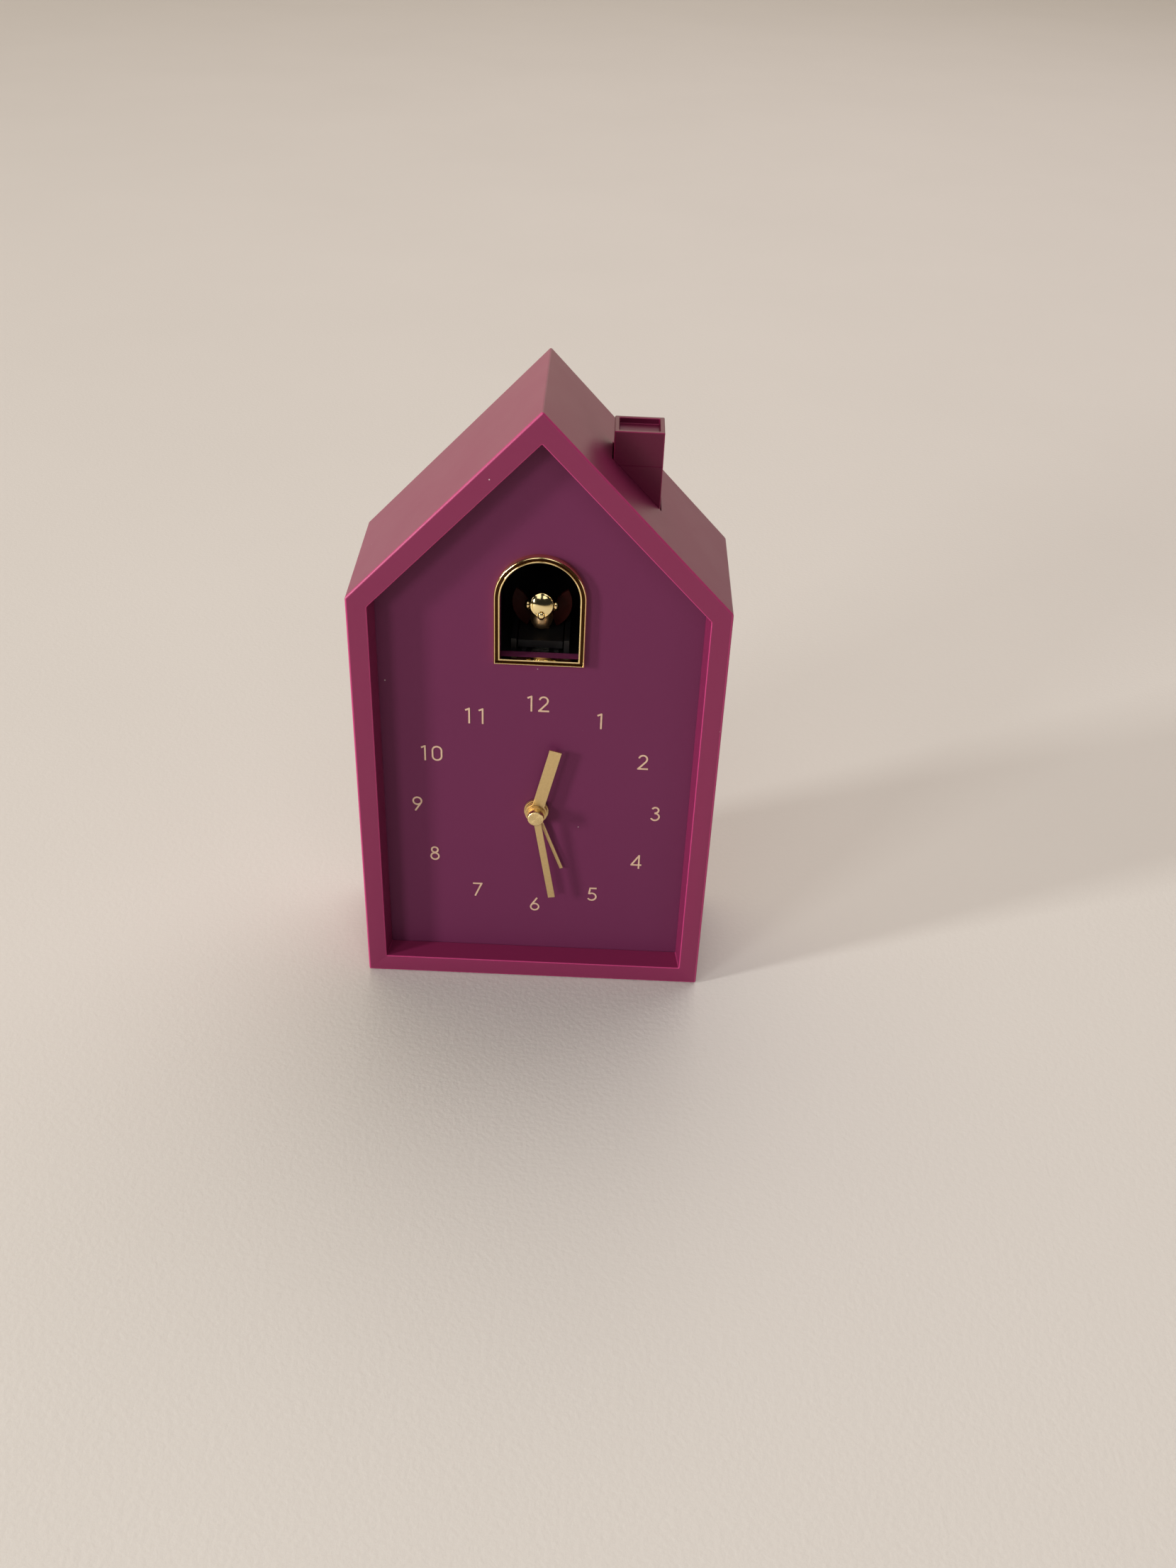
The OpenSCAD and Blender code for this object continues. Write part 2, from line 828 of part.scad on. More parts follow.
module movement_front() {
    h = movement_w / 2;
    color(black)
        difference() {
            union() {
                block([-h, movement_y0, hub_z - h], [h, movement_y0 + movement_wall, hub_z + h]);
                block([-ear_x - 3, movement_y0, hub_z - 3.5], [ear_x + 3, movement_y0 + movement_wall, hub_z + 3.5]);
                bar_y(centre_at, bush_r, dial_y - 0.2, movement_y0 + 0.5);
            }
            bar_y(centre_at, alarm_tube_r + run, dial_y - 1, movement_y0 + movement_wall + 1);
            for (p = train_places)
                bar_y(p, pivot_r + 0.05, movement_y0 + 0.3, movement_y0 + movement_wall + 1);
            for (p = [motion_at, alarm_at])
                bar_y(p, 0.8 + run, movement_y0 + 0.3, movement_y0 + movement_wall + 1);
            for (x = [-ear_x, ear_x])
                bar_y([x, hub_z], 1.1, movement_y0 - 1, movement_y0 + movement_wall + 1);
        }
}

module movement_rear() {
    h = movement_w / 2;
    y0 = movement_y0 + movement_wall;
    color([0.12, 0.12, 0.13])
        difference() {
            block([-h, y0, hub_z - h], [h, movement_y1, hub_z + h]);
            block([-h + 1.5, y0 - 1, hub_z - h + 1.5], [h - 1.5, movement_y1 - 1.5, hub_z + h - 1.5]);
            for (p = train_places)
                bar_y(p, pivot_r + 0.05, movement_y1 - 2, movement_y1 - 0.3);
            for (p = [motion_at, alarm_at])
                bar_y(p, 0.8 + run, movement_y1 - 3, movement_y1 + 1);
            bar_y(centre_at, arbor_r + run, movement_y1 - 2, movement_y1 - 0.3);
        }
}

module minute_arbor() {
    color(brass) {
        bar_y(centre_at, arbor_r, cap_front + 2, motion_gear_y);
        bar_y(centre_at, arbor_r, motion_gear_y + 1, movement_y1 - 0.6);
        gear_y_axis(centre_at, 12, motion_mod, 0, motion_gear_y, 1, 0);
    }
}

module hour_wheel() {
    bore = arbor_r + run;
    color(nylon)
        difference() {
            union() {
                bar_y(centre_at, hour_tube_r, hour_boss_y, motion_gear_y - 0.3);
                gear_y_axis(centre_at, 40, hour_mod, 0, hour_gear_y, 0.8, 0);
            }
            bar_y(centre_at, bore, hour_boss_y - 1, motion_gear_y);
        }
}

module alarm_wheel() {
    color(nylon)
        difference() {
            union() {
                bar_y(centre_at, alarm_tube_r, alarm_boss_y, alarm_gear_y + 1);
                gear_y_axis(centre_at, 36, motion_mod, 0, alarm_gear_y, 0.8, 0);
            }
            bar_y(centre_at, hour_tube_r + run, alarm_boss_y - 1, alarm_gear_y + 2);
        }
}

// Wheel that carries the minutes down to the hours, and the time knob on its long arbor
module motion_wheel() {
    gear_turn = mesh_turn(180, 12, 0, 36);
    pinion_turn = mesh_turn(180, 40, 0, 10);
    color(nylon) {
        gear_y_axis(motion_at, 36, motion_mod, gear_turn, motion_gear_y, 0.8, 0);
        gear_y_axis(motion_at, 10, hour_mod, pinion_turn, hour_gear_y - 0.1, 1.5, 0);
        bar_y(motion_at, 0.8, movement_y0 + 0.5, hour_gear_y - 0.1);
        bar_y(motion_at, 0.8, motion_gear_y + 0.8, knob_y1 - 2);
    }
}

module alarm_arbor() {
    color(nylon) {
        gear_y_axis(alarm_at, 12, motion_mod, mesh_turn(0, 36, 0, 12), alarm_gear_y - 0.1, 1, 0);
        bar_y(alarm_at, 0.8, movement_y0 + 0.5, alarm_gear_y - 0.1);
        bar_y(alarm_at, 0.8, alarm_gear_y + 0.9, knob_y1 - 2);
    }
}

// One wheel of the running train with its pinion and arbor
module train_wheel(place, teeth, turn, y, pinion_teeth, pinion_turn, pinion_y) {
    color(brass) {
        gear_y_axis(place, teeth, train_mod, turn, y, gear_t, 0);
        gear_y_axis(place, pinion_teeth, train_mod, pinion_turn, pinion_y, y - pinion_y, 0);
        bar_y(place, pivot_r, movement_y0 + 0.5, pinion_y);
        bar_y(place, pivot_r, y + gear_t, movement_y1 - 0.5);
    }
}

module centre_wheel() {
    color(brass)
        gear_y_axis(centre_at, centre_teeth, train_mod, 0, centre_gear_y, gear_t, arbor_r + run);
}

module third_wheel() {
    train_wheel(third_at, third_teeth, 0, third_gear_y, train_pinion, third_pinion_turn, centre_gear_y - 0.2);
}

module second_wheel() {
    train_wheel(second_at, second_teeth, 0, second_gear_y, train_pinion, second_pinion_turn, third_gear_y - 0.2);
}

module intermediate_wheel() {
    train_wheel(inter_at, inter_teeth, 0, inter_gear_y, inter_pinion, inter_pinion_turn, second_gear_y - 0.2);
}

module rotor() {
    color([0.25, 0.25, 0.28]) {
        bar_y(rotor_at, rotor_magnet_r, stator_y, stator_y + 1.2);
        bar_y(rotor_at, 0.7, inter_gear_y + 0.8, stator_y);
        gear_y_axis(rotor_at, train_pinion, train_mod, rotor_pinion_turn, inter_gear_y - 0.2, 1, 0);
        bar_y(rotor_at, pivot_r, movement_y0 + 0.5, inter_gear_y - 0.2);
        bar_y(rotor_at, pivot_r, stator_y + 1.2, movement_y1 - 0.5);
    }
}

// Flat iron plate around the rotor with a limb through the coil
module stator() {
    x0 = rotor_at[0] - 5.5;
    z0 = rotor_at[1] - 5.5;
    z1 = rotor_at[1] + 5.5;
    color(steel)
        slab(stator_y, stator_y + 1)
            difference() {
                union() {
                    translate([x0, z0])
                        square([limb_x + limb_w - x0, z1 - z0]);
                    translate([limb_x, z1 - 1])
                        square([limb_w, 17]);
                }
                translate(rotor_at)
                    circle(r = rotor_hole_r);
            }
}

module coil() {
    z0 = rotor_at[1] + 6;
    color([0.6, 0.3, 0.12])
        difference() {
            union() {
                translate([limb_x + limb_w / 2, coil_y, z0 + 1])
                    cylinder(r = 3.2, h = 12);
                for (z = [z0, z0 + 13])
                    block([limb_x - 1.1, coil_y - 3.5, z], [limb_x + limb_w + 1.1, coil_y + 3.5, z + 1]);
            }
            block([limb_x - 0.1, stator_y - 0.1, z0 - 1], [limb_x + limb_w + 0.1, stator_y + 1.1, z0 + 15]);
        }
}

// Movement circuit board with its chip and its watch crystal
module movement_board() {
    z0 = hub_z + 13;
    color(green)
        block([-24, -5, z0], [8, -3.8, z0 + 13]);
    color(black)
        block([-10, -6, z0 + 3], [-4, -5, z0 + 9]);
    color(steel)
        bar_x([-6, z0 + 6], 1, -21, -14);
}

module hand(length, width, boss_r, bore, boss_y, blade_y, angle) {
    translate([0, 0, hub_z])
        rotate([0, angle, 0])
            translate([0, 0, -hub_z])
                difference() {
                    union() {
                        bar_y(centre_at, boss_r, boss_y, boss_y + boss_t);
                        block([-width / 2, blade_y, hub_z], [width / 2, blade_y + hand_t, hub_z + length]);
                    }
                    bar_y(centre_at, bore, boss_y - 1, boss_y + boss_t + 1);
                }
}

module alarm_hand() {
    color(gold)
        hand(alarm_len, alarm_w, 4.4, alarm_tube_r + 0.01, alarm_boss_y, alarm_boss_y + 0.4, alarm_angle);
}

module hour_hand() {
    color(gold)
        hand(hour_len, hour_w, 4, hour_tube_r + 0.01, hour_boss_y, hour_boss_y, hour_angle);
}

module minute_hand() {
    color(gold)
        hand(minute_len, minute_w, 3.4, arbor_r + 0.01, minute_boss_y, minute_boss_y, minute_angle);
}

// Turned cap that covers the end of the minute arbor, with a rounded front edge
module hand_cap() {
    cap_r = 3;
    edge_r = 0.6;
    length = minute_boss_y - cap_front - 0.05;
    color(bright_gold)
        translate([0, cap_front + length, hub_z])
            rotate([90, 0, 0])
                difference() {
                    rotate_extrude()
                        union() {
                            square([cap_r - edge_r, length]);
                            square([cap_r, length - edge_r]);
                            translate([cap_r - edge_r, length - edge_r])
                                circle(r = edge_r);
                        }
                    translate([0, 0, -1])
                        cylinder(r = arbor_r + 0.01, h = 1 + length - 1.8);
                }
}

module knob(place) {
    difference() {
        union() {
            bar_y(place, knob_r, cover_front - 1, knob_y1 - 0.8);
            bar_y(place, 2.4, knob_y0, cover_front - 1);
            for (k = [0:17])
                bar_y(place + knob_r * dir(20 * k), 0.35, cover_front - 1, knob_y1 - 0.8);
            block([place[0] - 3.6, knob_y1 - 1, place[1] - 0.6], [place[0] + 3.6, knob_y1, place[1] + 0.6]);
        }
        bar_y(place, 0.81, knob_y0 - 1, knob_y1 - 2);
    }
}

module time_knob() {
    color(black)
        knob(motion_at);
}

module alarm_knob() {
    color(black)
        knob(alarm_at);
}

// ---- snooze button -------------------------------------------------------------------------

module chimney_button() {
    x0 = chimney_x - chimney_w / 2;
    y0 = chimney_y - chimney_d / 2;
    x1 = chimney_x + chimney_w / 2;
    y1 = chimney_y + chimney_d / 2;
    t = 1.5;
    bar_top = button_foot + button_bar;
    color(plum) {
        difference() {
            block([x0, y0, button_foot], [x1, y1, chimney_top]);
            block([x0 + t, y0 + t, chimney_top - 3], [x1 - t, y1 - t, chimney_top + 1]);
            block([x0 + t, y0 + t, bar_top], [x1 - t, y1 - t, chimney_top - 4.5]);
            for (x = [-6.2, 6.2])
                translate([chimney_x + x, chimney_y, button_foot - 1])
                    cylinder(r = 0.6, h = button_bar + 2);
        }
        for (side = [-1, 1])
            block([chimney_x + side * 8.65 - 0.75, chimney_y - 5, button_foot],
                  [chimney_x + side * 8.65 + 0.75, chimney_y + 5, bar_top]);
        translate([chimney_x, chimney_y, plunger_top + snooze_travel + 0.05])
            cylinder(r = 2, h = button_foot - plunger_top - snooze_travel + 0.5);
    }
}

// Sleeve under the roof that guides the chimney and stops its side lugs
module chimney_guide() {
    roof_in = apex_h - wall * sqrt(2);
    x0 = chimney_x - 9.6;
    x1 = chimney_x + 9.6;
    y0 = chimney_y - 8.6;
    y1 = chimney_y + 8.6;
    color(black)
        difference() {
            union() {
                difference() {
                    block([x0, y0, guide_bottom], [x1, y1, roof_in]);
                    translate([0, 0, roof_in - 0.1])
                        rotate([0, 45, 0])
                            block([-200, -50, 0], [200, 50, 200]);
                }
                translate([chimney_x, chimney_y, roof_in - chimney_x - 0.1])
                    rotate([0, 45, 0])
                        block([-15, -11, -1.6], [15, 11, 0]);
                for (x = [x0, x1 - 2], y = [y0, y1 - 1.4])
                    block([x, y, snooze_board_top], [x + 2, y + 1.4, guide_bottom + 1]);
            }
            block([chimney_x - chimney_w / 2 - 0.4, chimney_y - chimney_d / 2 - 0.4, guide_bottom - 1],
                  [chimney_x + chimney_w / 2 + 0.4, chimney_y + chimney_d / 2 + 0.4, apex_h]);
        }
}

module snooze_spring() {
    color(steel)
        translate([chimney_x, chimney_y, snooze_board_top + spring_wire + 0.05])
            helix(spring_r, spring_wire, button_foot - snooze_board_top - 2 * spring_wire - 0.1, 5);
}

module snooze_board() {
    color(green)
        block([chimney_x - 10.5, chimney_y - 9.5, snooze_board_top - 1.6],
              [chimney_x + 10.5, chimney_y + 9.5, snooze_board_top]);
}

module snooze_switch() {
    color([0.2, 0.2, 0.22]) {
        translate([chimney_x, chimney_y, snooze_board_top])
            translate([-3, -3, 0])
                cube([6, 6, 1.8]);
        translate([chimney_x, chimney_y, snooze_board_top + 1.8])
            cylinder(r = 1.7, h = plunger_top - snooze_board_top - 1.8);
    }
}

// ---- rear electronics ----------------------------------------------------------------------

module sound_board() {
    color(green)
        block([board_x[0], board_y0, board_z[0]], [board_x[1], board_y1, board_z[1]]);
    color(black)
        block([-50, board_y0 - 1.6, 72], [-40, board_y0, 82]);
    color(black)
        block([-34, board_y0 - 1.4, 64], [-28, board_y0, 69]);
    color([0.15, 0.2, 0.45])
        bar_y([-30, 90], 3, board_y0 - 7, board_y0);
}

module switch_bodies() {
    color(steel)
        for (s = [[alarm_switch_z, 4], [mode_switch_z, 6]])
            difference() {
                block([switch_x - 2.6, board_y1, s[0] - 4], [switch_x + 2.6, board_y1 + 4, s[0] + 4 + s[1]]);
                block([switch_x - 1.5, board_y1 + 1, s[0] - 2.4],
                      [switch_x + 1.5, board_y1 + 5, s[0] + 2.4 + s[1]]);
            }
}

// Slide switch knob reaching from its body out through the cover
module slider(z) {
    block([switch_x - 1.2, board_y1 + 1.3, z - 2], [switch_x + 1.2, cover_back + 1, z + 2]);
}

module alarm_switch() {
    color(nylon)
        slider(alarm_switch_z);
}

module mode_switch() {
    color(nylon)
        slider(mode_switch_z);
}

// Steel basket of the loudspeaker with its magnet
module speaker_basket() {
    color(steel)
        translate([speaker_at[0], cover_front - 0.1, speaker_at[1]])
            rotate([90, 0, 0])
                difference() {
                    union() {
                        cylinder(r = speaker_r, h = 1.2);
                        translate([0, 0, 1.2])
                            cylinder(r1 = speaker_r - 1, r2 = 9, h = 4.6);
                        translate([0, 0, 5.8])
                            cylinder(r = 9, h = 3.6);
                    }
                    translate([0, 0, -1])
                        cylinder(r = speaker_r - 2.5, h = 2.2);
                    translate([0, 0, 1.2])
                        cylinder(r1 = speaker_r - 2.5, r2 = 7, h = 3.8);
                }
}

module speaker_cone() {
    color([0.1, 0.1, 0.1])
        translate([speaker_at[0], cover_front - 1.4, speaker_at[1]])
            rotate([90, 0, 0])
                difference() {
                    cylinder(r1 = speaker_r - 3, r2 = 6.2, h = 3.2);
                    translate([0, 0, -0.01])
                        cylinder(r1 = speaker_r - 3.6, r2 = 5.4, h = 2.6);
                }
}

module battery_tray() {
    t = 1.5;
    color(black)
        difference() {
            block([-tray_x - t, tray_y0, tray_z[0] - t], [tray_x + t, cover_front, tray_z[1] + t]);
            block([-tray_x, tray_y0 + t, tray_z[0]], [tray_x, cover_front + 1, tray_z[1]]);
        }
}

module batteries() {
    for (k = [0:2]) {
        side = k == 1 ? -1 : 1;
        place = [cell_y, cell_z0 + k * cell_pitch];
        low = side > 0 ? -24.1 : 24.1 - cell_len;
        color([0.16, 0.3, 0.42])
            bar_x(place, cell_r, low, low + cell_len);
        color(steel)
            bar_x(place, 2.7, side > 0 ? low + cell_len : low - 1, side > 0 ? low + cell_len + 1 : low);
    }
}

module battery_contacts() {
    color(steel)
        for (k = [0:2], side = [-1, 1])
            block([side * (tray_x - 0.25) - 0.25, cell_y - 5.5, cell_z0 + k * cell_pitch - 6],
                  [side * (tray_x - 0.25) + 0.25, cell_y + 5.5, cell_z0 + k * cell_pitch + 6]);
}

module battery_springs() {
    color(steel)
        for (k = [0:2]) {
            side = k == 1 ? 1 : -1;
            translate([side * (tray_x - 0.85), cell_y, cell_z0 + k * cell_pitch])
                rotate([0, -90 * side, 0])
                    helix(3.4, 0.3, 2.7, 3);
        }
}

module battery_door() {
    color(plum_dark)
        difference() {
            union() {
                block([-tray_x + 0.1, cover_front + 0.4, door_z[0]], [tray_x - 0.1, cover_back, door_z[1]]);
                bar_x([door_axis_y, door_axis_z], door_pin_r, -tray_x - 1.6, tray_x + 1.6);
            }
            for (k = [0:3])
                block([-7, cover_back - 0.6, door_z[1] - 4 - 1.8 * k], [7, cover_back + 1, door_z[1] - 3.1 - 1.8 * k]);
        }
}

house_shell();
dial_panel();
dial_numerals();
window_frame();
bird_chamber();
bird_carriage();
bird_body();
bird_wing_left();
bird_wing_right();
drive_bracket();
drive_axle();
rack_gear();
bird_motor();
motor_pinion();
movement_front();
movement_rear();
minute_arbor();
hour_wheel();
motion_wheel();
alarm_wheel();
alarm_arbor();
minute_hand();
hour_hand();
alarm_hand();
hand_cap();
time_knob();
alarm_knob();
centre_wheel();
third_wheel();
second_wheel();
intermediate_wheel();
rotor();
stator();
coil();
movement_board();
chimney_button();
chimney_guide();
snooze_spring();
snooze_board();
snooze_switch();
sound_board();
switch_bodies();
alarm_switch();
mode_switch();
speaker_basket();
speaker_cone();
back_cover();
battery_tray();
battery_door();
batteries();
battery_contacts();
battery_springs();
cover_screws();
panel_screws();
drive_screws();
rubber_feet();
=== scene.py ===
import json
import math

import bmesh
import bpy
from mathutils import Euler, Matrix, Vector


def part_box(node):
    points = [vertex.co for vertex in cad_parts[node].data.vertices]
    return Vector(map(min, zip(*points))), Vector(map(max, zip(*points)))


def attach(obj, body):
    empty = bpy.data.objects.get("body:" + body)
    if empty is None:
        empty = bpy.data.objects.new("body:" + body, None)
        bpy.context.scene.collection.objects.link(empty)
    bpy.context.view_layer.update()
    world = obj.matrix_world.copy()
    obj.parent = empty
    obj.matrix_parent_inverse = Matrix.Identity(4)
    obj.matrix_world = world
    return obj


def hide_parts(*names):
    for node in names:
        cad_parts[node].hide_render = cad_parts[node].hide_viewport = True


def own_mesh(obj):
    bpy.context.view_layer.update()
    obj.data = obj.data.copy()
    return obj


# Looks of a house-shaped table cuckoo clock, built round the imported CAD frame.
# Metres, +Z up, with the dial facing -Y. Angles in arguments are degrees.

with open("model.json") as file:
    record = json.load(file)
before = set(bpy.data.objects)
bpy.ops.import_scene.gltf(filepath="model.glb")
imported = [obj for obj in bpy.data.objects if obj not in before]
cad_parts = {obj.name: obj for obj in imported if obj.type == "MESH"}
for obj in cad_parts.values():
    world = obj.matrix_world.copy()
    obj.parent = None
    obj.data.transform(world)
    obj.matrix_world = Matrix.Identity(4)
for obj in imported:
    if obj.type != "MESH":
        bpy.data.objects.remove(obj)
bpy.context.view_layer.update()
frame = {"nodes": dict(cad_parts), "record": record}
MM = 0.001
TIGHT = 0.05 * MM  # two places closer than this are the same place
TRIM_WIDTH = 2.15 * MM

# ---- places, all from the frame --------------------------------------------------------------

shell_low, shell_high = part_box("house_shell")
half_width = shell_high.x
front_y = shell_low.y
back_y = shell_high.y
base_z = shell_low.z
apex_z = shell_high.z
dial_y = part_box("dial_panel")[0].y
trim_low, trim_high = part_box("window_frame")
cap_low, cap_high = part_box("hand_cap")
bird_low, bird_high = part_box("bird_body")
chimney_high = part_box("chimney_button")[1]


# ---- camera, floor and light -----------------------------------------------------------------

def make_camera():
    """Stands close in front, a little right of the middle, and looks down at about 39 degrees."""
    data = bpy.data.cameras.new("camera")
    data.lens = 35.76
    data.sensor_width = 36
    data.shift_x = 0.0016
    data.shift_y = 0.1182
    data.clip_start = 0.01
    data.clip_end = 50
    camera = bpy.data.objects.new("camera", data)
    camera.location = (0.0187, -0.4962, 0.3873)
    camera.rotation_euler = Euler([math.radians(a) for a in (50.61, -2.03, 1.45)])
    bpy.context.scene.collection.objects.link(camera)
    bpy.context.scene.camera = camera


def area_light(name, place, target, size, power, colour):
    data = bpy.data.lights.new(name, "AREA")
    data.shape = "RECTANGLE"
    data.size, data.size_y = size
    data.energy = power
    data.color = colour
    light = bpy.data.objects.new(name, data)
    light.location = place
    light.rotation_euler = (Vector(target) - Vector(place)).to_track_quat("-Z", "Y").to_euler()
    bpy.context.scene.collection.objects.link(light)


def window_light(name, azimuth, elevation, size, power):
    """A bright window to the left of the dial, in degrees; azimuth 0 is straight in front."""
    distance = 4
    target = Vector((0, 0, 0.11))
    across, up = math.radians(azimuth), math.radians(elevation)
    way = Vector((-math.sin(across) * math.cos(up), -math.cos(across) * math.cos(up), math.sin(up)))
    area_light(name, target + way * distance, target, size, power, (1, 0.97, 0.94))


def make_lights():
    """Low windows light the front, and a wide ceiling behind lights the roof. The rest show in the gold."""
    window_light("front_window", 40, 14, (0.85, 0.9), 43)
    window_light("side_window", 66, 13, (0.42, 1.0), 97)
    clock_middle = (0, 0, 0.14)
    for side in (-1, 1):
        area_light("ceiling_panel", (side * 0.32, -1.2, 1.2), clock_middle, (0.5, 1.1), 2.3, (1, 0.97, 0.92))
    area_light("right_card", (0.86, -0.62, 0.13), clock_middle, (0.26, 0.22), 0.35, (1, 0.98, 0.95))
    area_light("ceiling", (0.7, 1.35, 2.3), (0.1, -0.1, 0), (2.6, 2.4), 24.5, (1, 0.91, 0.965))


def make_room_glow():
    """Light from all round: nearly dark in front of the clock, warm and bright behind it and above."""
    world = bpy.data.worlds.new("room")
    bpy.context.scene.world = world
    world.use_nodes = True
    tree = world.node_tree
    direction = tree.nodes.new("ShaderNodeTexCoord")
    along = tree.nodes.new("ShaderNodeVectorMath")
    along.operation = "DOT_PRODUCT"
    along.inputs[1].default_value = (-0.3, 1, 0.3)
    tree.links.new(direction.outputs["Generated"], along.inputs[0])
    shift = tree.nodes.new("ShaderNodeMapRange")
    shift.inputs["From Min"].default_value = -1
    shift.inputs["From Max"].default_value = 1
    tree.links.new(along.outputs["Value"], shift.inputs["Value"])
    ramp = tree.nodes.new("ShaderNodeValToRGB")
    tree.links.new(shift.outputs["Result"], ramp.inputs["Fac"])
    stops = ramp.color_ramp.elements
    stops[0].position = 0.45
    stops[0].color = (0.02, 0.02, 0.02, 1)
    stops[1].position = 0.98
    stops[1].color = (1.0, 0.83, 0.64, 1)
    stops.new(0.8).color = (0.50, 0.41, 0.33, 1)
    tree.links.new(ramp.outputs["Color"], tree.nodes["Background"].inputs["Color"])


def make_floor():
    reach = 6
    mesh = bpy.data.meshes.new("floor")
    mesh.from_pydata([(-reach, -reach, 0), (reach, -reach, 0), (reach, reach, 0), (-reach, reach, 0)],
                     [], [(0, 1, 2, 3)])
    mesh.materials.append(finishes["floor"])
    floor = bpy.data.objects.new("floor", mesh)
    bpy.context.scene.collection.objects.link(floor)


# ---- finishes --------------------------------------------------------------------------------

class Finish:
    """A Principled material with procedural variation. All scales are per metre, in the row frame."""

    def __init__(self, name, colour, roughness, metallic=0.0, **sockets):
        self.name = name
        self.material = bpy.data.materials.new(name)
        self.material.use_nodes = True
        self.tree = self.material.node_tree
        self.shader = self.tree.nodes["Principled BSDF"]
        self.shader.inputs["Base Color"].default_value = (*colour, 1)
        self.shader.inputs["Roughness"].default_value = roughness
        self.shader.inputs["Metallic"].default_value = metallic
        for socket, value in sockets.items():
            self.shader.inputs[socket.replace("_", " ")].default_value = value
        self.material.diffuse_color = (*colour, 1)

    def node(self, kind, **settings):
        made = self.tree.nodes.new("ShaderNode" + kind)
        for key, value in settings.items():
            setattr(made, key, value)
        return made

    def link(self, source, target):
        self.tree.links.new(source, target)

    def place(self, stretch=(1, 1, 1)):
        coords = self.node("TexCoord")
        mapping = self.node("Mapping")
        mapping.inputs["Scale"].default_value = stretch
        self.link(coords.outputs["Object"], mapping.inputs["Vector"])
        return mapping.outputs["Vector"]

    def noise(self, scale, detail=3, stretch=(1, 1, 1)):
        made = self.node("TexNoise")
        made.inputs["Scale"].default_value = scale
        made.inputs["Detail"].default_value = detail
        self.link(self.place(stretch), made.inputs["Vector"])
        return made.outputs["Fac"]

    def cells(self, scale, feature="F1"):
        made = self.node("TexVoronoi", feature=feature)
        made.inputs["Scale"].default_value = scale
        self.link(self.place(), made.inputs["Vector"])
        return made

    def height(self, axis):
        """The distance along one axis of the row frame."""
        split = self.node("SeparateXYZ")
        self.link(self.place(), split.inputs[0])
        return split.outputs[axis]

    def product(self, first, second):
        made = self.node("Math", operation="MULTIPLY")
        self.link(first, made.inputs[0])
        self.link(second, made.inputs[1])
        return made.outputs["Value"]

    def spread(self, source, low, high, out_low=0.0, out_high=1.0):
        """Maps the source from the range low to high onto out_low to out_high."""
        made = self.node("MapRange")
        made.inputs["From Min"].default_value = low
        made.inputs["From Max"].default_value = high
        made.inputs["To Min"].default_value = out_low
        made.inputs["To Max"].default_value = out_high
        self.link(source, made.inputs["Value"])
        return made.outputs["Result"]

    def blend_colour(self, factor, colour):
        """Mixes another colour over the present base colour by a factor."""
        mix = self.node("Mix", data_type="RGBA")
        base = self.shader.inputs["Base Color"]
        if base.is_linked:
            self.link(base.links[0].from_socket, mix.inputs["A"])
        else:
            mix.inputs["A"].default_value = base.default_value
        mix.inputs["B"].default_value = (*colour, 1)
        self.link(factor, mix.inputs["Factor"])
        self.link(mix.outputs["Result"], base)
        return self

    def vary(self, scale, colour, amount=1.0):
        """Clouds of another colour, up to that amount."""
        return self.blend_colour(self.spread(self.noise(scale), 0.3, 0.7, 0, amount), colour)

    def roughen(self, scale, low, high, stretch=(1, 1, 1)):
        self.link(self.spread(self.noise(scale, stretch=stretch), 0.3, 0.7, low, high),
                  self.shader.inputs["Roughness"])
        return self

    def bump(self, source, depth):
        """Relief on top of any there already, its depth in metres."""
        made = self.node("Bump")
        made.inputs["Distance"].default_value = depth
        normal = self.shader.inputs["Normal"]
        if normal.is_linked:
            self.link(normal.links[0].from_socket, made.inputs["Normal"])
        self.link(source, made.inputs["Height"])
        self.link(made.outputs["Normal"], normal)
        return self

    def grain(self, scale, depth, detail=2, stretch=(1, 1, 1)):
        return self.bump(self.noise(scale, detail, stretch), depth)

    def paint_edge_highlight(self, colour):
        """Painted highlight: a lighter colour on the edges rounded between the front or back and the sides,
        for the light they catch.
        """
        facing = self.node("NewGeometry")
        split = self.node("SeparateXYZ")
        self.link(facing.outputs["True Normal"], split.inputs[0])
        depth = self.node("Math", operation="ABSOLUTE")
        self.link(split.outputs["Y"], depth.inputs[0])
        past_side = self.spread(depth.outputs["Value"], 0.2, 0.26)
        short_of_front = self.spread(depth.outputs["Value"], 0.95, 0.985, 1, 0)
        return self.blend_colour(self.product(past_side, short_of_front), colour)

    def dust(self, scale, radius, share, colour=(0.75, 0.68, 0.66)):
        """Specks: a small dot in a share of the cells."""
        cells = self.cells(scale)
        dot = self.spread(cells.outputs["Distance"], radius, radius * 0.5)
        split = self.node("SeparateColor")
        self.link(cells.outputs["Color"], split.inputs["Color"])
        chosen = self.spread(split.outputs["Red"], 1 - share, 1 - share + 0.001)
        return self.blend_colour(self.product(dot, chosen), colour)


def plum_plastic(name, colour, roughness, grain_depth, shine, painted_edge_highlight=False):
    """Satin moulded plastic with faint clouds, a few specks of dust, a fine grain and, if asked, a painted
    highlight on the rounded edges.
    """
    finish = Finish(name, colour, roughness, Specular_IOR_Level=shine)
    finish.vary(18, tuple(c * 0.9 for c in colour), 0.3)
    finish.dust(190, 0.05, 0.1)
    # Painted highlight: the rounded edges are given a lighter plum.
    if painted_edge_highlight:
        finish.paint_edge_highlight(tuple(min(1, c * 2.3) for c in colour))
    finish.roughen(60, roughness - 0.01, roughness + 0.02)
    return finish.grain(2600, grain_depth)


def moulded_line(finish):
    """A faint step across the chimney, where its mould parted."""
    line_z = chimney_high.z - 11 * MM
    blur = 0.15 * MM
    above = finish.spread(finish.height("Z"), line_z - blur, line_z + blur)
    return finish.bump(above, 0.00008)


